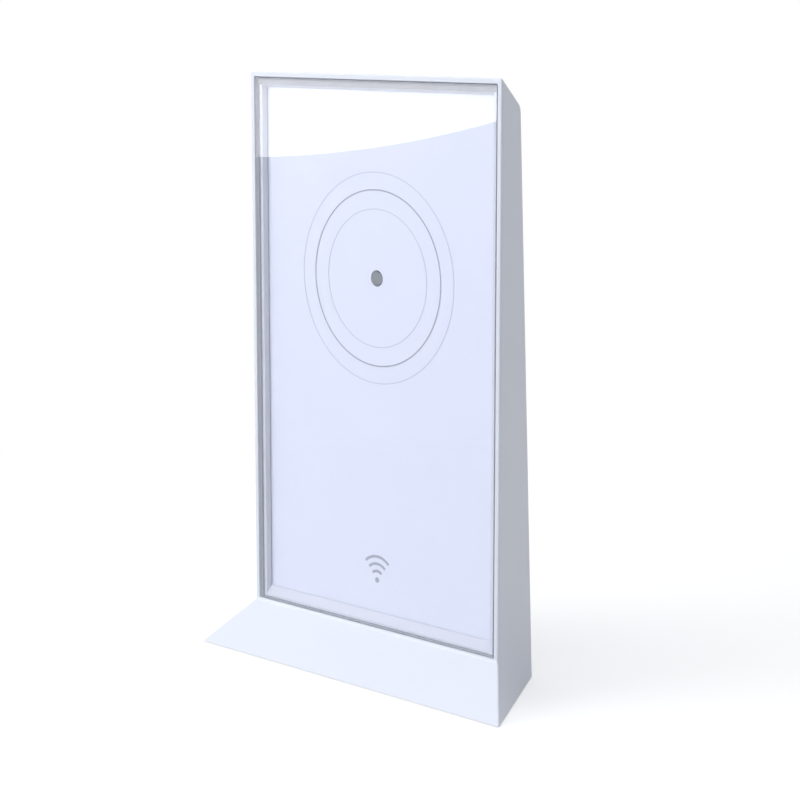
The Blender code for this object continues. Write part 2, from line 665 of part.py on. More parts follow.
def shield_cans(finish, parent):
    low, high = CAN_HEIGHTS
    for name, sign in (("radio_shield_left", -1), ("radio_shield_right", 1)):
        x = sign * (CAN_INNER_X + CAN_WIDTH / 2)
        can = on_board(name, x, (low + high) / 2, CAN_WIDTH, high - low, CAN_TALL, finish, parent)
        room = box(CAN_WIDTH - 2 * CAN_WALL, CAN_TALL, high - low - 2 * CAN_WALL)
        cut(can, room, Matrix.Translation(spot(x, MOUNT_DEPTH + CAN_TALL / 2 - CAN_WALL, (low + high) / 2)))


def power_parts(coil_finish, capacitor_finish, parent):
    x, z = COIL_PLACE
    coil = on_board("power_inductor", x, z, COIL_SIZE, COIL_SIZE, COIL_TALL, coil_finish, parent)
    soften = coil.modifiers.new("corners", "BEVEL")
    soften.width = COIL_ROUND
    soften.segments = 2
    profile = ((CAPACITOR_RADIUS, 0.0), (CAPACITOR_RADIUS, CAPACITOR_TALL - TIP_ROUND),
               (CAPACITOR_RADIUS - TIP_ROUND, CAPACITOR_TALL))
    places = {f"capacitor_{k}": facing(spot(x, MOUNT_DEPTH, z), BACKWARDS)
              for k, (x, z) in enumerate(CAPACITOR_PLACES, 1)}
    add_copies(turn(bmesh.new(), profile), places, capacitor_finish, parent)


def heat_spreader(finish, pad_finish, parent):
    """A plate with fins, made as one comb outline drawn up its height."""
    foot = SPREADER_FRONT
    root = foot + SPREADER_THICK
    tip = rear_depth(SPREADER_HIGH, WALL) - FIN_CLEAR
    outline = [(SPREADER_HALF, foot), (SPREADER_HALF, root)]
    for k in reversed(range(FIN_COUNT)):
        x = (k - (FIN_COUNT - 1) / 2) * FIN_PITCH
        outline += [(x + FIN_THICK / 2, root), (x + FIN_THICK / 2, tip),
                    (x - FIN_THICK / 2, tip), (x - FIN_THICK / 2, root)]
    outline += [(-SPREADER_HALF, root), (-SPREADER_HALF, foot)]
    bm = drawn_up([spot(x, depth, SPREADER_LOW) for x, depth in outline], SPREADER_HIGH - SPREADER_LOW)
    spreader = add("heat_spreader", bm, finish, parent=parent)
    leg_x = SPREADER_HALF - SPREADER_LEG_INSET
    for x in (-leg_x, leg_x):
        for z in (SPREADER_LOW + SPREADER_LEG_INSET, SPREADER_HIGH - SPREADER_LEG_INSET):
            leg = rod(SPREADER_LEG_RADIUS, SPREADER_STAND + OVERLAP)
            fuse(spreader, leg, facing(spot(x, MOUNT_DEPTH, z), BACKWARDS))
    low = MOUNT_DEPTH + PROCESSOR_THICK + GAP
    high = SPREADER_FRONT - GAP
    place = Matrix.Translation(spot(0, (low + high) / 2, PROCESSOR_HEIGHT))
    add("thermal_pad", box(PROCESSOR_SIZE, high - low, PROCESSOR_SIZE), pad_finish, place, parent)


# ---------------------------------------------------------------- sockets and button

def socket_mouth():
    """Depth of the sockets' open ends: just inside the cover's face at the row's top."""
    return rear_depth(PORT_HEIGHT + SOCKET_TALL / 2) - PORT_RECESS


def contact_comb(start):
    """Contact springs side by side, held at their inner end by one carrier bar."""
    root = start + CONTACT_WIDTH
    half = CONTACT_COUNT * CONTACT_PITCH / 2
    outline = [(-half, start), (half, start), (half, root)]
    for k in reversed(range(CONTACT_COUNT)):
        x = (k - (CONTACT_COUNT - 1) / 2) * CONTACT_PITCH
        outline += [(x + CONTACT_WIDTH / 2, root), (x + CONTACT_WIDTH / 2, start + CONTACT_LENGTH),
                    (x - CONTACT_WIDTH / 2, start + CONTACT_LENGTH), (x - CONTACT_WIDTH / 2, root)]
    outline.append((-half, root))
    return drawn_up([spot(x, depth, 0) for x, depth in outline], CONTACT_WIDTH)


def network_sockets(body_finish, contact_finish, parent):
    mouth = socket_mouth()
    length = mouth - MOUNT_DEPTH
    for name, x in SOCKET_PLACES.items():
        place = Matrix.Translation(spot(x, MOUNT_DEPTH + length / 2, PORT_HEIGHT))
        body = add(name, box(SOCKET_WIDTH, length, SOCKET_TALL), body_finish, place, parent)
        start = mouth - CAVITY_DEEP
        room = limits(x=(x - CAVITY_WIDTH / 2, x + CAVITY_WIDTH / 2), depth=(start, BEYOND),
                      z=(PORT_HEIGHT - CAVITY_TALL / 2, PORT_HEIGHT + CAVITY_TALL / 2))
        cut(body, convex(room))
        low = PORT_HEIGHT - CAVITY_TALL / 2 - NOTCH_TALL
        notch = limits(x=(x - NOTCH_WIDTH / 2, x + NOTCH_WIDTH / 2), depth=(start, BEYOND),
                       z=(low, PORT_HEIGHT))
        cut(body, convex(notch))
        top = PORT_HEIGHT + CAVITY_TALL / 2 - GAP
        contacts = contact_comb(start + GAP)
        place = Matrix.Translation((x, 0, top - CONTACT_WIDTH))
        add(name.replace("network_socket", "socket_contacts"), contacts, contact_finish, place, parent)


def power_inlet(body_finish, pin_finish, parent):
    mouth = socket_mouth()
    collar_start = rear_depth(PORT_HEIGHT + INLET_BODY / 2, WALL) - GAP
    length = collar_start - MOUNT_DEPTH
    place = Matrix.Translation(spot(INLET_X, MOUNT_DEPTH + length / 2, PORT_HEIGHT))
    body = add("power_inlet", box(INLET_BODY, length, INLET_BODY), body_finish, place, parent)
    collar = rod(INLET_COLLAR, mouth - collar_start + OVERLAP)
    fuse(body, collar, facing(spot(INLET_X, collar_start - OVERLAP, PORT_HEIGHT), BACKWARDS))
    floor = mouth - INLET_BORE_DEEP
    cut_bore(body, spot(INLET_X, floor, PORT_HEIGHT), BACKWARDS, INLET_BORE, BEYOND)
    tall = INLET_BORE_DEEP - INLET_PIN_INSET
    profile = ((INLET_PIN, 0.0), (INLET_PIN, tall - TIP_ROUND), (INLET_PIN - TIP_ROUND, tall))
    pin = turn(bmesh.new(), profile)
    place = facing(spot(INLET_X, floor + GAP, PORT_HEIGHT), BACKWARDS)
    add("power_inlet_pin", pin, pin_finish, place, parent, smooth=True)


def button_flange_back():
    """Depth of the flange's back: clear of the leaning cover at the flange's top."""
    return rear_depth(PORT_HEIGHT + FLANGE_RADIUS, WALL) - GAP


def reset_switch(button_finish, plunger_finish, switch_finish, parent):
    """The button's cap, flange and stem in one, and the switch that it presses."""
    body = on_board("reset_switch", BUTTON_X, PORT_HEIGHT, SWITCH_SIZE, SWITCH_SIZE, SWITCH_TALL,
                    switch_finish, parent)
    switch_back = MOUNT_DEPTH + SWITCH_TALL
    plunger_back = switch_back + 2 * GAP
    plunger_front = plunger_back - PLUNGER_TALL
    well = plunger_front - BUTTON_TRAVEL - GAP
    cut_bore(body, spot(BUTTON_X, well, PORT_HEIGHT), BACKWARDS, PLUNGER_RADIUS + GAP, BEYOND)

    slider = bpy.data.objects.new("reset_slider", None)
    bpy.context.scene.collection.objects.link(slider)
    slider.parent = parent
    slider.matrix_basis = facing(spot(BUTTON_X, plunger_front, PORT_HEIGHT), BACKWARDS)
    plunger = rod(PLUNGER_RADIUS, PLUNGER_TALL)
    add("reset_plunger", plunger, plunger_finish, Matrix.Identity(4), slider, smooth=True)
    stem = button_flange_back() - FLANGE_THICK - plunger_back - GAP
    cap = stem + FLANGE_THICK
    end = rear_depth(PORT_HEIGHT) + BUTTON_PROUD - plunger_back - GAP
    profile = ((STEM_RADIUS, 0.0), (STEM_RADIUS, stem), (FLANGE_RADIUS, stem), (FLANGE_RADIUS, cap),
               (BUTTON_RADIUS, cap), (BUTTON_RADIUS, end - TIP_ROUND), (BUTTON_RADIUS - TIP_ROUND, end))
    button = turn(bmesh.new(), profile)
    place = Matrix.Translation(Vector((0, 0, PLUNGER_TALL + GAP)))
    add("reset_button", button, button_finish, place, slider, smooth=True)


# ---------------------------------------------------------------- antennas

def antennas(finish, parent):
    near = WALL + GAP
    for name in ("left", "right"):
        normal, distance = inset(PLANES["side_" + name], near + ANTENNA_THICK)
        planes = limits(depth=ANTENNA_DEPTHS, z=ANTENNA_HEIGHTS)
        planes += [inset(PLANES["side_" + name], near), (-normal, -distance)]
        add("antenna_" + name, convex(planes), finish, parent=parent)
    normal, distance = inset(PLANES["top"], near + ANTENNA_THICK)
    planes = limits(x=(-TOP_ANTENNA_HALF, TOP_ANTENNA_HALF), depth=TOP_ANTENNA_DEPTHS)
    planes += [inset(PLANES["top"], near), (-normal, -distance)]
    add("antenna_top", convex(planes), finish, parent=parent)


def lead(name, points, finish, parent):
    """A thin coaxial lead along one smooth curve through hand-set points."""
    steps = 5
    smooth = []
    padded = [2 * points[0] - points[1], *points, 2 * points[-1] - points[-2]]
    for before, start, end, after in zip(padded, padded[1:], padded[2:], padded[3:]):
        for k in range(steps):
            t = k / steps
            smooth.append(0.5 * (2 * start + (end - before) * t
                                 + (2 * before - 5 * start + 4 * end - after) * t ** 2
                                 + (3 * start - before - 3 * end + after) * t ** 3))
    smooth.append(points[-1])
    curve = bpy.data.curves.new(name, "CURVE")
    curve.dimensions = "3D"
    curve.bevel_depth = LEAD_RADIUS
    curve.bevel_resolution = 2
    curve.use_fill_caps = True
    spline = curve.splines.new("POLY")
    spline.points.add(len(smooth) - 1)
    for point, place in zip(spline.points, smooth):
        point.co = (*place, 1.0)
    curve.materials.append(finish)
    thing = bpy.data.objects.new(name, curve)
    thing.parent = parent
    bpy.context.scene.collection.objects.link(thing)


def antenna_leads(connector_finish, lead_finish, parent):
    height = BOARD_HIGH - CONNECTOR_BELOW_EDGE
    start = MOUNT_DEPTH + CONNECTOR_TALL + GAP
    places = {"antenna_connector_" + name: facing(spot(x, MOUNT_DEPTH, height), BACKWARDS)
              for name, x in (("left", -CONNECTOR_X), ("top", 0), ("right", CONNECTOR_X))}
    add_copies(rod(CONNECTOR_RADIUS, CONNECTOR_TALL), places, connector_finish, parent)
    reach = WALL + GAP + ANTENNA_THICK + LEAD_CLEAR
    end_x = side_half(LEAD_END_DEPTH, reach)
    for name, sign in (("left", -1), ("right", 1)):
        route = [spot(sign * CONNECTOR_X, start, height),
                 spot(sign * (CONNECTOR_X + 0.6 * MM), start + 1.3 * MM, height),
                 spot(sign * (CONNECTOR_X + 4 * MM), start + 1.8 * MM, height - 0.8 * MM),
                 spot(sign * (BOARD_HALF - 4 * MM), start + 1.4 * MM, height - 4 * MM),
                 spot(sign * (BOARD_HALF + 1.5 * MM), start, height - 11 * MM),
                 spot(sign * (end_x - 2.2 * MM), LEAD_END_DEPTH + 0.6 * MM, LEAD_END_HEIGHT + 3 * MM),
                 spot(sign * end_x, LEAD_END_DEPTH, LEAD_END_HEIGHT)]
        lead("antenna_lead_" + name, route, lead_finish, parent)
    depth = sum(TOP_ANTENNA_DEPTHS) / 2
    end_z = HEIGHT - depth * tan(TOP_SLOPE) - reach / cos(TOP_SLOPE)
    route = [spot(0, start, height),
             spot(0, start + 1.2 * MM, height + 0.8 * MM),
             spot(0, start + 1.4 * MM, height + 4 * MM),
             spot(0, start, height + 12 * MM),
             spot(0, depth + 0.4 * MM, end_z - 6 * MM),
             spot(0, depth, end_z)]
    lead("antenna_lead_top", route, lead_finish, parent)


# ---------------------------------------------------------------- screws

def screws(name, frames, head, shank, finish, parent):
    """Like screws, numbered. Each frame is under its screw's head, with Z along the shank."""
    head_radius, head_tall = head
    shank_radius, shank_length = shank
    profile = ((head_radius, -head_tall), (head_radius, 0.0), (shank_radius, 0.0),
               (shank_radius, shank_length - shank_radius / 2), (shank_radius / 2, shank_length))
    places = {f"{name}_{k}": frame for k, frame in enumerate(frames, 1)}
    add_copies(turn(bmesh.new(), profile, steps=SCREW_STEPS), places, finish, parent)


def all_screws(finish, parent):
    head = (HEAD_RADIUS, HEAD_TALL)
    small_head = (SMALL_HEAD_RADIUS, SMALL_HEAD_TALL)
    frames = [facing(spot(x, rear_depth(z) - SINK_DEPTH + GAP, z), FORWARDS)
              for _, x, z in cover_screw_spots()]
    screws("cover_screw", frames, head, (SHANK_RADIUS, SHANK_LENGTH), finish, parent)
    frames = [facing(spot(x, FRAME_FRONT + HEAD_TALL + GAP, z), BACKWARDS)
              for _, x, z in cover_screw_spots()]
    screws("frame_screw", frames, head, (SHANK_RADIUS, FRAME_SHANK_LENGTH), finish, parent)
    frames = [facing(spot(x, depth, BASE_LOW + SINK_DEPTH - GAP), UPWARDS)
              for x, depth in base_screw_spots()]
    screws("base_screw", frames, head, (SHANK_RADIUS, SHANK_LENGTH), finish, parent)
    frames = [facing(spot(x, MOUNT_DEPTH, z), FORWARDS) for x, z in board_screw_spots()]
    small_shank = (SMALL_SHANK_RADIUS, BOARD_THICK + BOARD_SHANK_REACH)
    screws("board_screw", frames, small_head, small_shank, finish, parent)


def build():
    clear_scene()
    white = material("white_moulding", (0.78, 0.80, 0.83), 0.38)
    inner_white = material("white_spacer", (0.72, 0.74, 0.78), 0.45)
    printed = material("lavender_white_panel", (0.72, 0.76, 0.90), 0.35)
    clear = material("clear_acrylic", (0.95, 0.97, 1.0), 0.05, alpha=0.2)
    grey = material("grey_moulding", (0.20, 0.21, 0.22), 0.55)
    dark = material("black_plastic", (0.02, 0.02, 0.022), 0.45)
    smoke = material("smoked_lens", (0.20, 0.22, 0.24), 0.2)
    board_green = material("board_laminate", (0.02, 0.16, 0.07), 0.4)
    tin = material("tinned_steel", (0.62, 0.62, 0.60), 0.35, metallic=1.0)
    steel = material("zinc_steel", (0.60, 0.60, 0.62), 0.3, metallic=1.0)
    aluminium = material("aluminium", (0.80, 0.81, 0.82), 0.35, metallic=1.0)
    gold = material("gold_plate", (0.83, 0.62, 0.28), 0.25, metallic=1.0)
    rubber = material("rubber", (0.08, 0.08, 0.085), 0.8)
    gum = material("thermal_gum", (0.45, 0.55, 0.62), 0.8)
    amber = material("led_resin", (0.95, 0.93, 0.82), 0.3)

    router = bpy.data.objects.new("router", None)
    bpy.context.scene.collection.objects.link(router)
    housing_shell(white, router)
    rear_cover(white, router)
    base_plate(grey, router)
    foot_pads(rubber, router)
    front_window(clear, router)
    window_spacer(inner_white, router)
    face_panel(printed, router)
    status_light(smoke, amber, router)
    inner_frame(grey, router)
    main_board(board_green, router)
    chips(dark, router)
    shield_cans(tin, router)
    power_parts(dark, aluminium, router)
    heat_spreader(aluminium, gum, router)
    network_sockets(dark, gold, router)
    power_inlet(dark, steel, router)
    reset_switch(grey, dark, dark, router)
    antennas(board_green, router)
    antenna_leads(gold, dark, router)
    all_screws(steel, router)


build()
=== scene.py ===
"""A white tabletop wireless router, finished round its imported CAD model. Metres, +Z up, front to -Y."""

import json
from math import cos, pi, radians, sin

import bmesh
import bpy
from mathutils import Matrix, Vector


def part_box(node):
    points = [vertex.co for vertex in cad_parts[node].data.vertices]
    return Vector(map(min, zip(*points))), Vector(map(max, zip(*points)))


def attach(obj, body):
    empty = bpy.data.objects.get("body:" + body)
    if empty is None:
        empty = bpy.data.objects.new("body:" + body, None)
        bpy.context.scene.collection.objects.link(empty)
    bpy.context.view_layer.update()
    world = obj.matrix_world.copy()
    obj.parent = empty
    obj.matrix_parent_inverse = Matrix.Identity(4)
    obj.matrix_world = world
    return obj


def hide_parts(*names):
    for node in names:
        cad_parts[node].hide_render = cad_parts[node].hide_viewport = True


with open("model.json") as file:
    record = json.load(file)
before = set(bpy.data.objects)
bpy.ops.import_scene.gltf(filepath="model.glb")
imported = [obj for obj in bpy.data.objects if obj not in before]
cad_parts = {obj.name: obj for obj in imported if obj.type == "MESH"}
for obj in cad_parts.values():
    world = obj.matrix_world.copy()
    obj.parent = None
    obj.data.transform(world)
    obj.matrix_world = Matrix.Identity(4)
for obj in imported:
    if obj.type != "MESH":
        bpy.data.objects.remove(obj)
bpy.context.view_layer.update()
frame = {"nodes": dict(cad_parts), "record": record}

MM = 0.001
FULL_TURN = 2 * pi
HOUSING = "housing"
SLOTS = {row["node"]: row["material_slot"] for row in frame["record"]["subparts"]}

# The print on the panel: rings round the light, and a small wireless mark below them
RINGS = ((23.7 * MM, 0.34 * MM), (30.2 * MM, 0.5 * MM), (36.2 * MM, 0.34 * MM))     # radius, line width
RING_STEPS = 160
MARK_LOW = 33 * MM              # the mark's dot above the table
MARK_ARCS = (3.2 * MM, 5.8 * MM, 8.4 * MM)
MARK_LINE = 1.0 * MM            # the arcs' line, and the dot's radius
MARK_SPREAD = radians(42)       # each arc's reach to either side of upright
ARC_STEPS = 26
DOT_STEPS = 32
INK_THICK = 0.03 * MM
INK_LIFT = 0.02 * MM            # from the panel's face to the ink's back

# How far each finished piece's edges are rounded, and in how many steps
EDGES = {
    "housing_shell": (0.2 * MM, 3),
    "rear_cover": (0.2 * MM, 2),
    "base_plate": (0.3 * MM, 3),
    "front_window": (0.05 * MM, 2),
    "window_spacer": (0.12 * MM, 2),
    "face_panel": (0.15 * MM, 2),
    "status_lens": (0.2 * MM, 3),
    "network_socket_1": (0.25 * MM, 3),
    "network_socket_2": (0.25 * MM, 3),
    "power_inlet": (0.25 * MM, 3),
    "reset_button": (0.25 * MM, 3),
}
SOFT_BEND = radians(40)         # edges that turn more than this are rounded
WELD = 0.002 * MM
SAME_FLAT = radians(0.5)        # faces that turn less than this are one flat
FOLD = radians(5)               # wide flats that meet at more than this keep a crisp line
WIDE_FLAT = 150 * MM * MM
FACING = 0.9                    # how squarely a face or an edge lies along an axis to count as along it

# The back cover's vents
SLOT_ROUND = 0.8 * MM           # the slots' ends
SLOT_STEPS = 5
VENTS_HALF = 30 * MM            # no slot is further than this from the middle
VENTS_OVER_SOCKETS = 5 * MM
VENTS_UNDER_SCREWS = 1 * MM
COVER_CUT = 4 * MM              # an edge through the cover is shorter than this

# The tape between the spacer and the window
TAPE_THICK = 0.2 * MM
TAPE_FOOT = 0.5 * MM            # its width along the foot
TAPE_SIDE = 0.3 * MM            # and up the sides; along the top it covers the spacer's bar
TAPE_OVER = 0.2 * MM            # past the spacer's outer edge, nearly to the wall
TAPE_MARGIN = 0.08 * MM         # from the bar's lower edge
TAPE_LIFT = 0.04 * MM           # from the spacer's front

# The screws, with shares of the head's radius, of its height, of the shank's radius or of the thread's pitch
HEAD_TALL = 1.0 * MM
HEAD_ROUND = 0.7                # of the head's height
SHANK_SHARE = 0.52              # of the head's radius
TIP_SHARE = 0.5                 # of the shank's radius
TIP_LONG = 0.6                  # of the shank's radius
THREAD_PITCH = 0.5 * MM
THREAD_CREST = 0.45             # of the pitch
THREAD_FALL = 0.7               # of the pitch, to the root
THREAD_ROOT = 0.86              # of the shank's radius
RECESS_LONG = 1.15              # of the head's radius
RECESS_WIDE = 0.26              # of the head's radius
RECESS_DEEP = 0.6               # of the head's height
SCREW_STEPS = 40

# The rubber feet
PAD_ROUND = 0.4 * MM
PAD_RINGS = 5
PAD_RING_PITCH = 0.75 * MM
PAD_GROOVE = 0.25 * MM
PAD_STEPS = 72

# The studio
FLOOR_SIZE = 6.0
FLOOR_LIFT = 0.45               # the floor's own light where it is looked at
FLOOR_PLAIN = 0.1               # the floor is plain up to here from the middle
FLOOR_GONE = 0.45               # and white from here
AMBIENT = "#9B9DA3"             # the world's light on the object
LAMPS = (                       # name, place, aim, width and height, watts, outline
    ("key", (-0.6, -1.4, 0.8), (0, 0, 0.1), (0.9, 0.7), 5.7, "RECTANGLE"),
    ("overhead", (0.1, -0.3, 1.5), (0, 0, 0), (1.2, 1.2), 11.8, "RECTANGLE"),
    ("card", (-1.27, -1.0, 0.49), (-1.27, 0, 0.49), (1.8, 0.82), 11, "ELLIPSE"),
    ("fill", (-1.2, 1.6, 0.9), (0, 0, 0.1), (1.4, 1.2), 5.5, "RECTANGLE"),
)
CAMERA_TARGET = Vector((0.0004, 0.003, 0.0954))
CAMERA_AZIMUTH = radians(44.65)
CAMERA_ELEVATION = radians(9.72)
CAMERA_DISTANCE = 0.7944
CAMERA_LENS = 102.9
CAMERA_NEAR = 0.01


# ---------------------------------------------------------------- materials

def colour(code):
    """A linear colour with alpha from an sRGB hex code."""
    parts = [int(code[k:k + 2], 16) / 255 for k in (1, 3, 5)]
    return (*[c / 12.92 if c <= 0.04045 else ((c + 0.055) / 1.055) ** 2.4 for c in parts], 1.0)


WHITE = colour("#FFFFFF")


def add(tree, kind, inputs=None, **settings):
    """Add a node with its settings. An input's value is a number, a colour or another node's socket."""
    made = tree.nodes.new(kind)
    for name, value in settings.items():
        setattr(made, name, value)
    for socket, value in (inputs or {}).items():
        if isinstance(value, bpy.types.NodeSocket):
            tree.links.new(value, made.inputs[socket])
        else:
            made.inputs[socket].default_value = value
    return made


def start_material(name, code, roughness, metallic=0.0, ior=None):
    """A material with one Principled shader. Returns it with its tree, its shader and its coordinates."""
    made = bpy.data.materials.new(name)
    made.use_nodes = True
    tree = made.node_tree
    shader = tree.nodes["Principled BSDF"]
    shader.inputs["Base Color"].default_value = colour(code)
    shader.inputs["Roughness"].default_value = roughness
    shader.inputs["Metallic"].default_value = metallic
    if ior is not None:
        shader.inputs["IOR"].default_value = ior
    place = add(tree, "ShaderNodeTexCoord").outputs["Object"]
    return made, tree, shader, place


def mottle(tree, shader, place, size, detail, code, other_code):
    """The shader's colour drifts between two close tones over patches of this size."""
    patches = add(tree, "ShaderNodeTexNoise", {"Vector": place, "Scale": 1 / size, "Detail": detail})
    tone = add(tree, "ShaderNodeMix", {"Factor": patches.outputs["Fac"], "A": colour(code),
                                       "B": colour(other_code)}, data_type="RGBA")
    tree.links.new(tone.outputs["Result"], shader.inputs["Base Color"])


def moulded(name, code, flow_code, roughness, grain, depth):
    """A moulded plastic: a fine spark-eroded grain, and a faint shift of tone along the flow.

    A real grain is near 0.1 mm. It is drawn coarser, so that it shows.
    """
    made, tree, shader, place = start_material(name, code, roughness, ior=1.53)
    mottle(tree, shader, place, 45 * MM, 2.0, code, flow_code)
    pits = add(tree, "ShaderNodeTexNoise", {"Vector": place, "Scale": 1 / grain, "Detail": 3.0})
    shine = add(tree, "ShaderNodeMapRange", {"Value": pits.outputs["Fac"], "To Min": roughness - 0.04,
                                             "To Max": roughness + 0.04})
    tree.links.new(shine.outputs["Result"], shader.inputs["Roughness"])
    bump = add(tree, "ShaderNodeBump", {"Height": pits.outputs["Fac"], "Strength": 0.25, "Distance": depth})
    tree.links.new(bump.outputs["Normal"], shader.inputs["Normal"])
    return made


def white_abs():
    """Satin white ABS with a cool tint: the housing and the back cover."""
    return moulded("white_abs", "#E3E8F2", "#E0E5F0", 0.38, 0.5 * MM, 0.01 * MM)


def white_abs_matt_painted_shade():
    """The same plastic with a coarser grain, where it lines the recess. Its grey colour, darker than the
    housing's white, is painted shade for the recess.
    """
    # Painted shade: the recess lining is coloured grey instead of the housing's white.
    return moulded("white_abs_matt_painted_shade", "#C5C8D2", "#C2C5D0", 0.55, 0.6 * MM, 0.015 * MM)


def grey_abs():
    """Warm grey ABS with a dull grain, for the base, the inner frame and the button."""
    return moulded("grey_abs", "#8B8E93", "#85888E", 0.6, 0.6 * MM, 0.03 * MM)


def black_nylon():
    """Black glass-filled nylon, matt, for sockets and switches."""
    return moulded("black_nylon", "#17181A", "#1C1D20", 0.5, 0.4 * MM, 0.02 * MM)


def silicone_rubber():
    """Dark silicone rubber: no shine, and a soft mottle where it was moulded."""
    return moulded("silicone_rubber", "#3A3B3E", "#45464A", 0.85, 0.8 * MM, 0.03 * MM)


def thermal_gum():
    """A soft blue-grey gap pad filled with ceramic grit."""
    return moulded("thermal_gum", "#8FA6B8", "#7F97AB", 0.8, 0.7 * MM, 0.05 * MM)


def foam_tape():
    """Grey acrylic foam tape: matt, with fine closed cells."""
    return moulded("foam_tape", "#8A8D96", "#848791", 0.8, 0.3 * MM, 0.02 * MM)


def led_resin():
    """Yellowish phosphor resin, slightly clouded."""
    return moulded("led_resin", "#F2E7A8", "#EBDD96", 0.35, 0.5 * MM, 0.01 * MM)


def printed_polycarbonate():
    """A polycarbonate sheet printed lavender-white on its face: smooth, with a barely uneven coat."""
    made, tree, shader, place = start_material("printed_polycarbonate", "#CED2E1", 0.32, ior=1.58)
    mottle(tree, shader, place, 60 * MM, 1.0, "#D0D4E3", "#CDD1E0")
    skin = add(tree, "ShaderNodeTexNoise", {"Vector": place, "Scale": 1 / (1.2 * MM), "Detail": 2.0})
    shine = add(tree, "ShaderNodeMapRange", {"Value": skin.outputs["Fac"], "To Min": 0.28, "To Max": 0.36})
    tree.links.new(shine.outputs["Result"], shader.inputs["Roughness"])
    return made


def printing_ink(name, code):
    """Screen-printed ink: flat, with the mesh's unevenness in its shine, drawn coarse enough to show."""
    made, tree, shader, place = start_material(name, code, 0.5)
    mesh = add(tree, "ShaderNodeTexNoise", {"Vector": place, "Scale": 1 / (0.4 * MM), "Detail": 2.0})
    shine = add(tree, "ShaderNodeMapRange", {"Value": mesh.outputs["Fac"], "To Min": 0.42, "To Max": 0.58})
    tree.links.new(shine.outputs["Result"], shader.inputs["Roughness"])
    return made


def clear_acrylic():
    """Polished acrylic sheet. Lamps' light goes straight through, as it nearly does in so thin a sheet."""
    made, tree, shader, _ = start_material("clear_acrylic", "#FBFCFF", 0.0, ior=1.49)
    shader.inputs["Transmission Weight"].default_value = 1.0
    clear = add(tree, "ShaderNodeBsdfTransparent", {"Color": colour("#F6F8FC")})
    ray = add(tree, "ShaderNodeLightPath")
    both = add(tree, "ShaderNodeMixShader", {0: ray.outputs["Is Shadow Ray"], 1: shader.outputs["BSDF"],
                                             2: clear.outputs["BSDF"]})
    tree.links.new(both.outputs["Shader"], tree.nodes["Material Output"].inputs["Surface"])
    return made


def sawn_acrylic():
    """A sheet's sawn edge: frosted by the blade's fine lines, so it glows and hides what is behind it."""
    made, tree, shader, place = start_material("sawn_acrylic", "#C3C6D0", 0.7, ior=1.49)
    lines = add(tree, "ShaderNodeTexNoise", {"Vector": place, "Scale": 1 / (0.5 * MM), "Detail": 2.0})
    bump = add(tree, "ShaderNodeBump", {"Height": lines.outputs["Fac"], "Strength": 0.3,
                                        "Distance": 0.02 * MM})
    tree.links.new(bump.outputs["Normal"], shader.inputs["Normal"])
    return made


def smoked_acrylic():
    """The light pipe: smoked acrylic that looks like a grey dot while its lamp is off."""
    made, tree, shader, place = start_material("smoked_acrylic", "#6C7177", 0.2, ior=1.49)
    mottle(tree, shader, place, 2 * MM, 2.0, "#666B71", "#72777D")
    return made


def board_laminate():
    """Glass-epoxy board under green solder mask, with the copper's tracks showing as a lighter green."""
    made, tree, shader, place = start_material("board_laminate", "#15552F", 0.35, ior=1.55)
    cells = add(tree, "ShaderNodeTexBrick", {"Vector": place, "Scale": 1 / (6 * MM), "Mortar Size": 0.06,
                                             "Color1": colour("#15552F"), "Color2": colour("#176036"),
                                             "Mortar": colour("#2C8A52")})
    tree.links.new(cells.outputs["Color"], shader.inputs["Base Color"])
    bump = add(tree, "ShaderNodeBump", {"Height": cells.outputs["Fac"], "Strength": 0.3,
                                        "Distance": 0.035 * MM})
    tree.links.new(bump.outputs["Normal"], shader.inputs["Normal"])
    return made


def worked_metal(name, code, roughness, stretch, spacing):
    """A metal with fine lines along one axis, which brushing, rolling or drawing leaves.

    The spacing is wider than between real lines, so that they show.
    """
    made, tree, shader, place = start_material(name, code, roughness, metallic=1.0)
    drawn = add(tree, "ShaderNodeMapping", {"Vector": place, "Scale": stretch})
    lines = add(tree, "ShaderNodeTexNoise", {"Vector": drawn.outputs["Vector"], "Scale": 1 / spacing,
                                             "Detail": 3.0})
    shine = add(tree, "ShaderNodeMapRange", {"Value": lines.outputs["Fac"], "To Min": roughness - 0.08,
                                             "To Max": roughness + 0.08})
    tree.links.new(shine.outputs["Result"], shader.inputs["Roughness"])
    bump = add(tree, "ShaderNodeBump", {"Height": lines.outputs["Fac"], "Strength": 0.2,
                                        "Distance": 0.01 * MM})
    tree.links.new(bump.outputs["Normal"], shader.inputs["Normal"])
    return made


FINISHES = {
    "white_moulding": white_abs(),
    "white_spacer": white_abs_matt_painted_shade(),
    "lavender_white_panel": printed_polycarbonate(),
    "clear_acrylic": clear_acrylic(),
    "grey_moulding": grey_abs(),
    "smoked_lens": smoked_acrylic(),
    "led_resin": led_resin(),
    "board_laminate": board_laminate(),
    "black_plastic": black_nylon(),
    "tinned_steel": worked_metal("tinned_steel", "#C9C8C4", 0.32, (1, 1, 12), 0.6 * MM),
    "aluminium": worked_metal("drawn_aluminium", "#D4D6D8", 0.34, (1, 1, 0.08), 0.3 * MM),
    "thermal_gum": thermal_gum(),
    "gold_plate": worked_metal("gold_plating", "#E2B45E", 0.24, (1, 0.1, 1), 0.2 * MM),
    "zinc_steel": worked_metal("zinc_plating", "#B9BBC0", 0.3, (1, 1, 1), 0.4 * MM),
    "rubber": silicone_rubber(),
}
PALE_INK = printing_ink("pale_ink", "#B4B9CB")
GREY_INK = printing_ink("grey_ink", "#8F95A4")


# ---------------------------------------------------------------- mesh helpers

def finish_of(node):
    return FINISHES[SLOTS[node]]


def body_of(node):
    bodies = frame["record"]["behaviour"]["bodies"]
    return next(body for body, nodes in bodies.items() if node in nodes)


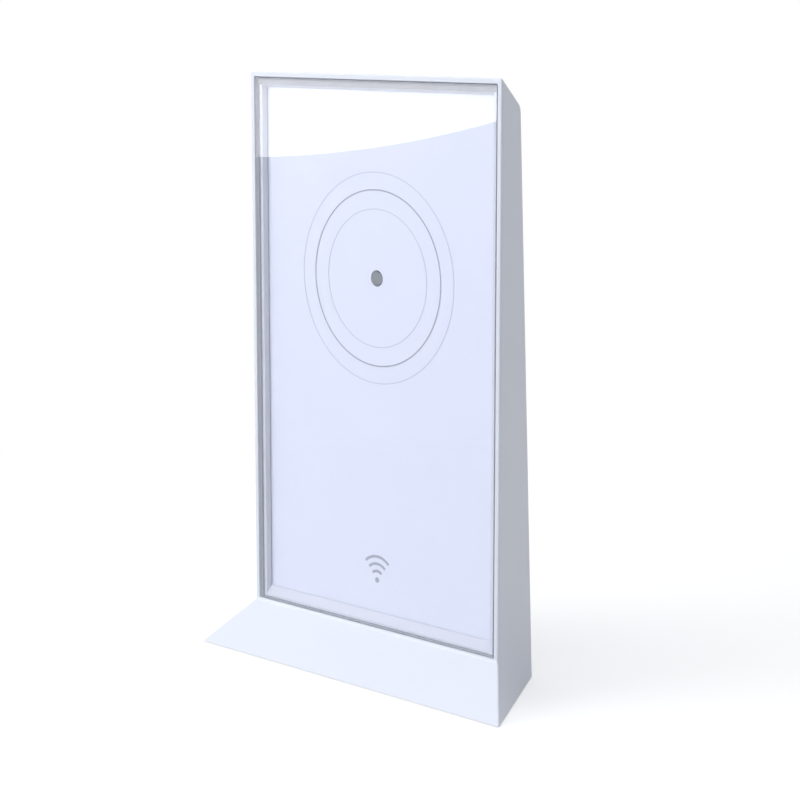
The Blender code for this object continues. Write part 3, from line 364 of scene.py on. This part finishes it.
def make(name, bm, finish, smooth=True):
    """An object from a bmesh, with its faces turned outwards and its soft bends shaded smooth."""
    bmesh.ops.recalc_face_normals(bm, faces=bm.faces)
    mesh = bpy.data.meshes.new(name)
    bm.to_mesh(mesh)
    bm.free()
    mesh.materials.append(finish)
    if smooth:
        mesh.shade_smooth()
        mesh.set_sharp_from_angle(angle=SOFT_BEND)
    piece = bpy.data.objects.new(name, mesh)
    bpy.context.scene.collection.objects.link(piece)
    return piece


def belongs(piece):
    """A piece with no CAD node of its own rides on the housing."""
    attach(piece, HOUSING)


def stand_for(piece, node):
    """The piece takes a CAD node's place and its body, and the CAD node is hidden."""
    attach(piece, body_of(node))
    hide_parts(node)
    return piece


def merged_copy(node):
    """A CAD node's mesh with the triangles of each flat merged."""
    bm = bmesh.new()
    bm.from_mesh(frame["nodes"][node].data)
    bmesh.ops.remove_doubles(bm, verts=bm.verts, dist=WELD)
    bmesh.ops.dissolve_limit(bm, angle_limit=SAME_FLAT, verts=bm.verts, edges=bm.edges)
    return bm


def softened(node, shape, width, segments):
    """A CAD node's shape with its sharp edges rounded and its wide flats kept flat."""
    piece = make(node + "_finished", shape, finish_of(node))
    bm = bmesh.new()
    bm.from_mesh(piece.data)
    for edge in bm.edges:
        wide = len(edge.link_faces) == 2 and min(face.calc_area() for face in edge.link_faces) > WIDE_FLAT
        if wide and edge.calc_face_angle() > FOLD:
            edge.smooth = False
    bm.to_mesh(piece.data)
    bm.free()
    rounding = piece.modifiers.new("edges", "BEVEL")
    rounding.width = width
    rounding.segments = segments
    rounding.limit_method = "ANGLE"
    rounding.angle_limit = SOFT_BEND
    rounding.harden_normals = True
    flats = piece.modifiers.new("flats", "WEIGHTED_NORMAL")
    flats.keep_sharp = True
    flats.weight = 100
    return stand_for(piece, node)


def turned(profile, place, steps):
    """A solid turned about the place's Z from (radius, height) pairs, lowest first, closed at both ends."""
    bm = bmesh.new()
    around = [FULL_TURN * k / steps for k in range(steps)]
    rings = []
    for radius, height in profile:
        corners = [Vector((radius * cos(angle), radius * sin(angle), height)) for angle in around]
        rings.append([bm.verts.new(place @ corner) for corner in corners])
    bm.faces.new(reversed(rings[0]))
    bm.faces.new(rings[-1])
    for lower, upper in zip(rings, rings[1:]):
        for k in range(steps):
            after = (k + 1) % steps
            bm.faces.new((lower[k], lower[after], upper[after], upper[k]))
    return bm


def quarter(radius, height, size, steps=5):
    """Points of a rounded outer corner that turns inwards at the top."""
    return [(radius - size + size * cos(a), height - size + size * sin(a))
            for a in (pi / 2 * k / steps for k in range(steps + 1))]


# ---------------------------------------------------------------- print, window and cover

def ink_line(name, centre, radius, width, ink, start=0.0, sweep=FULL_TURN):
    """A flat line of ink round a centre on the panel: a whole ring, or an arc with square ends."""
    bm = bmesh.new()
    closed = sweep == FULL_TURN
    steps = RING_STEPS if closed else ARC_STEPS
    inner = radius - width / 2
    outer = radius + width / 2
    rows = []
    for k in range(steps if closed else steps + 1):
        angle = start + sweep * k / steps
        across = Vector((cos(angle), 0, sin(angle)))
        section = ((inner, 0), (outer, 0), (outer, INK_THICK), (inner, INK_THICK))
        corners = [centre + across * reach - Vector((0, depth, 0)) for reach, depth in section]
        rows.append([bm.verts.new(corner) for corner in corners])
    for one, two in zip(rows, rows[1:] + rows[:1] if closed else rows[1:]):
        for k in range(4):
            after = (k + 1) % 4
            bm.faces.new((one[k], one[after], two[after], two[k]))
    if not closed:
        bm.faces.new(rows[0])
        bm.faces.new(rows[-1])
    belongs(make(name, bm, ink))


def panel_print():
    """Three plain rings round the light, and a small plain wireless mark low on the panel."""
    low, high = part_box("status_lens")
    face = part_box("face_panel")[0].y - INK_LIFT
    middle = Vector(((low.x + high.x) / 2, face, (low.z + high.z) / 2))
    inks = (PALE_INK, GREY_INK, PALE_INK)
    for k, ((radius, width), ink) in enumerate(zip(RINGS, inks), 1):
        ink_line(f"printed_ring_{k}", middle, radius, width, ink)
    foot = Vector((middle.x, face, MARK_LOW))
    for k, radius in enumerate(MARK_ARCS, 1):
        ink_line(f"mark_arc_{k}", foot, radius, MARK_LINE, GREY_INK, pi / 2 - MARK_SPREAD, 2 * MARK_SPREAD)
    place = Matrix.Translation(foot) @ Matrix.Rotation(pi / 2, 4, "X")
    spot = turned([(MARK_LINE, 0), (MARK_LINE, INK_THICK)], place, DOT_STEPS)
    belongs(make("mark_dot", spot, GREY_INK))


def rounded_vents():
    """The back cover's shape with its vent slots' ends rounded."""
    bm = merged_copy("rear_cover")
    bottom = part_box("network_socket_1")[1].z + VENTS_OVER_SOCKETS
    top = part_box("cover_screw_3")[0].z - VENTS_UNDER_SCREWS
    corners = []
    for edge in bm.edges:
        run = edge.verts[1].co - edge.verts[0].co
        through = abs(run.y) > FACING * run.length and run.length < COVER_CUT
        inside = all(bottom < vert.co.z < top and abs(vert.co.x) < VENTS_HALF for vert in edge.verts)
        if through and inside:
            corners.append(edge)
    bmesh.ops.bevel(bm, geom=corners, offset=SLOT_ROUND, segments=SLOT_STEPS, profile=0.5, affect="EDGES")
    return bm


def sawn_edges(window):
    """Gives the window's edges their sawn finish. Its two faces stay polished."""
    window.data.materials.append(sawn_acrylic())
    for face in window.data.polygons:
        if abs(face.normal.y) < FACING:
            face.material_index = 1


def window_tape():
    """A grey foam tape on the spacer's front, which holds the window."""
    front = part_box("window_spacer")[0].y
    mesh = frame["nodes"]["window_spacer"].data
    corners = [vert.co for vert in mesh.vertices if vert.co.y < front + WELD]
    half = max(round(abs(corner.x), 5) for corner in corners)
    heights = sorted({round(corner.z, 5) for corner in corners})
    foot = heights[0]
    bar_under = heights[-2]
    bar_top = heights[-1]
    outer = (half + TAPE_OVER, foot - TAPE_OVER, bar_top + TAPE_OVER)
    inner = (half - TAPE_SIDE, foot + TAPE_FOOT, bar_under + TAPE_MARGIN)
    bm = bmesh.new()
    loops = []
    for reach, low, high in (outer, inner):
        for y in (front - TAPE_LIFT, front - TAPE_LIFT - TAPE_THICK):
            around = ((-reach, low), (reach, low), (reach, high), (-reach, high))
            loops.append([bm.verts.new((x, y, z)) for x, z in around])
    outer_back, outer_front, inner_back, inner_front = loops
    for one, two in ((outer_back, outer_front), (outer_front, inner_front), (inner_front, inner_back),
                     (inner_back, outer_back)):
        for k in range(4):
            after = (k + 1) % 4
            bm.faces.new((one[k], one[after], two[after], two[k]))
    belongs(make("window_tape", bm, foam_tape(), smooth=False))


# ---------------------------------------------------------------- screws and feet

def screw(node, outwards):
    """A pan head with a cross recess, on its threaded shank. outwards is the head's way along the screw."""
    low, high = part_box(node)
    along = Vector(outwards)
    length = abs(along.dot(high - low))
    head = min(high - low) / 2
    shank = head * SHANK_SHARE
    turn = along.to_track_quat("Z", "Y").to_matrix().to_4x4()
    place = Matrix.Translation((low + high) / 2 - along * length / 2) @ turn

    profile = [(shank * TIP_SHARE, 0)]
    level = shank * TIP_LONG
    while level + THREAD_PITCH < length - HEAD_TALL - THREAD_PITCH:
        profile += [(shank, level), (shank, level + THREAD_PITCH * THREAD_CREST),
                    (shank * THREAD_ROOT, level + THREAD_PITCH * THREAD_FALL)]
        level += THREAD_PITCH
    profile += [(shank, length - HEAD_TALL), (head, length - HEAD_TALL)]
    profile += quarter(head, length, HEAD_TALL * HEAD_ROUND)
    body = make(node + "_finished", turned(profile, place, SCREW_STEPS), finish_of(node))

    cross = bmesh.new()
    size = Matrix.Diagonal((head * RECESS_LONG, head * RECESS_WIDE, HEAD_TALL * RECESS_DEEP * 2, 1))
    for angle in (0, pi / 2):
        spot = place @ Matrix.Translation((0, 0, length)) @ Matrix.Rotation(angle, 4, "Z")
        bmesh.ops.create_cube(cross, size=1, matrix=spot @ size)
    cutter = make(node + "_recess", cross, finish_of(node))
    step = body.modifiers.new("recess", "BOOLEAN")
    step.object = cutter
    step.operation = "DIFFERENCE"
    step.use_self = True
    depsgraph = bpy.context.evaluated_depsgraph_get()
    body.data = bpy.data.meshes.new_from_object(body.evaluated_get(depsgraph))
    body.modifiers.clear()
    bpy.data.objects.remove(cutter)
    return stand_for(body, node)


def foot_pad(node):
    """A rubber pad with a rounded rim and shallow rings on its face."""
    low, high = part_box(node)
    middle = (low + high) / 2
    radius = (high.x - low.x) / 2
    tall = high.z - low.z
    place = Matrix.Translation((middle.x, middle.y, high.z)) @ Matrix.Rotation(pi, 4, "X")
    profile = [(radius, 0)] + quarter(radius, tall, PAD_ROUND)
    for step in range(1, PAD_RINGS + 1):
        ring = radius - PAD_ROUND - step * PAD_RING_PITCH
        profile += [(ring + PAD_GROOVE, tall), (ring + PAD_GROOVE / 2, tall - PAD_GROOVE),
                    (ring - PAD_GROOVE / 2, tall - PAD_GROOVE), (ring - PAD_GROOVE, tall)]
    return stand_for(make(node + "_finished", turned(profile, place, PAD_STEPS), finish_of(node)), node)


def finish_pieces():
    """Every piece that shows is finished here. The CAD nodes that stay get their materials at the end."""
    panel_print()
    window_tape()
    for node, (width, segments) in EDGES.items():
        shape = rounded_vents() if node == "rear_cover" else merged_copy(node)
        piece = softened(node, shape, width, segments)
        if node == "front_window":
            sawn_edges(piece)
    for k in (1, 2, 3, 4):
        screw(f"cover_screw_{k}", (0, 1, 0))
        screw(f"base_screw_{k}", (0, 0, -1))
    for node in frame["nodes"]:
        if node.startswith("foot_pad"):
            foot_pad(node)
    for node, thing in frame["nodes"].items():
        thing.data.materials.clear()
        thing.data.materials.append(finish_of(node))


# ---------------------------------------------------------------- stage, lights and camera

def seen_directly(tree):
    """1 where the camera, a mirror or a clear sheet looks at something, and 0 where it only gives light."""
    ray = add(tree, "ShaderNodeLightPath")
    either = add(tree, "ShaderNodeMath", {0: ray.outputs["Is Camera Ray"], 1: ray.outputs["Is Glossy Ray"]},
                 operation="MAXIMUM")
    any_way = add(tree, "ShaderNodeMath", {0: either.outputs["Value"], 1: ray.outputs["Is Transmission Ray"]},
                  operation="MAXIMUM")
    return any_way.outputs["Value"]


def pale_floor():
    """A matt pale floor that keeps the object's shadow. Further off it fades into the white background."""
    bm = bmesh.new()
    bmesh.ops.create_grid(bm, x_segments=1, y_segments=1, size=FLOOR_SIZE / 2)
    made, tree, shader, place = start_material("studio_floor", "#D0D0D0", 0.9)
    shader.inputs["Specular IOR Level"].default_value = 0.0
    seen = seen_directly(tree)
    off = add(tree, "ShaderNodeVectorMath", {0: place}, operation="LENGTH")
    fade = add(tree, "ShaderNodeMapRange", {"Value": off.outputs["Value"], "From Min": FLOOR_PLAIN,
                                            "From Max": FLOOR_GONE}, interpolation_type="SMOOTHSTEP")
    share = add(tree, "ShaderNodeMath", {0: fade.outputs["Result"], 1: seen}, operation="MULTIPLY")
    lift = add(tree, "ShaderNodeMath", {0: seen, 1: FLOOR_LIFT}, operation="MULTIPLY")
    tree.links.new(lift.outputs["Value"], shader.inputs["Emission Strength"])
    shader.inputs["Emission Color"].default_value = WHITE
    white = add(tree, "ShaderNodeEmission", {"Color": WHITE, "Strength": 1.0})
    both = add(tree, "ShaderNodeMixShader", {0: share.outputs["Value"], 1: shader.outputs["BSDF"],
                                             2: white.outputs["Emission"]})
    tree.links.new(both.outputs["Shader"], tree.nodes["Material Output"].inputs["Surface"])
    make("studio_floor", bm, made, smooth=False)


def pale_world():
    """A world that looks white and lights the object with a softer, slightly cool grey."""
    world = bpy.data.worlds.new("studio")
    bpy.context.scene.world = world
    world.use_nodes = True
    tree = world.node_tree
    tree.nodes.clear()
    tone = add(tree, "ShaderNodeMix", {"Factor": seen_directly(tree), "A": colour(AMBIENT), "B": WHITE},
               data_type="RGBA")
    sky = add(tree, "ShaderNodeBackground", {"Color": tone.outputs["Result"]})
    add(tree, "ShaderNodeOutputWorld", {"Surface": sky.outputs["Background"]})


def soft_lamp(name, place, aim, size, watts, outline):
    data = bpy.data.lights.new(name, "AREA")
    data.shape = outline
    data.size, data.size_y = size
    data.energy = watts
    lamp = bpy.data.objects.new(name, data)
    lamp.location = place
    lamp.rotation_euler = (Vector(place) - Vector(aim)).to_track_quat("Z", "Y").to_euler()
    lamp.visible_camera = False
    bpy.context.scene.collection.objects.link(lamp)


def studio_camera():
    back = Vector((sin(CAMERA_AZIMUTH) * cos(CAMERA_ELEVATION), -cos(CAMERA_AZIMUTH) * cos(CAMERA_ELEVATION),
                   sin(CAMERA_ELEVATION)))
    camera = bpy.data.objects.new("camera", bpy.data.cameras.new("camera"))
    camera.data.lens = CAMERA_LENS
    camera.data.clip_start = CAMERA_NEAR
    camera.location = CAMERA_TARGET + back * CAMERA_DISTANCE
    camera.rotation_mode = "QUATERNION"
    camera.rotation_quaternion = (-back).to_track_quat("-Z", "Y")
    bpy.context.scene.collection.objects.link(camera)
    bpy.context.scene.camera = camera


def studio():
    """The card is the pale shape that the window mirrors. The others light the front, top and back."""
    pale_floor()
    pale_world()
    for lamp in LAMPS:
        soft_lamp(*lamp)
    studio_camera()
    bpy.context.scene.view_settings.view_transform = "Standard"


finish_pieces()
studio()
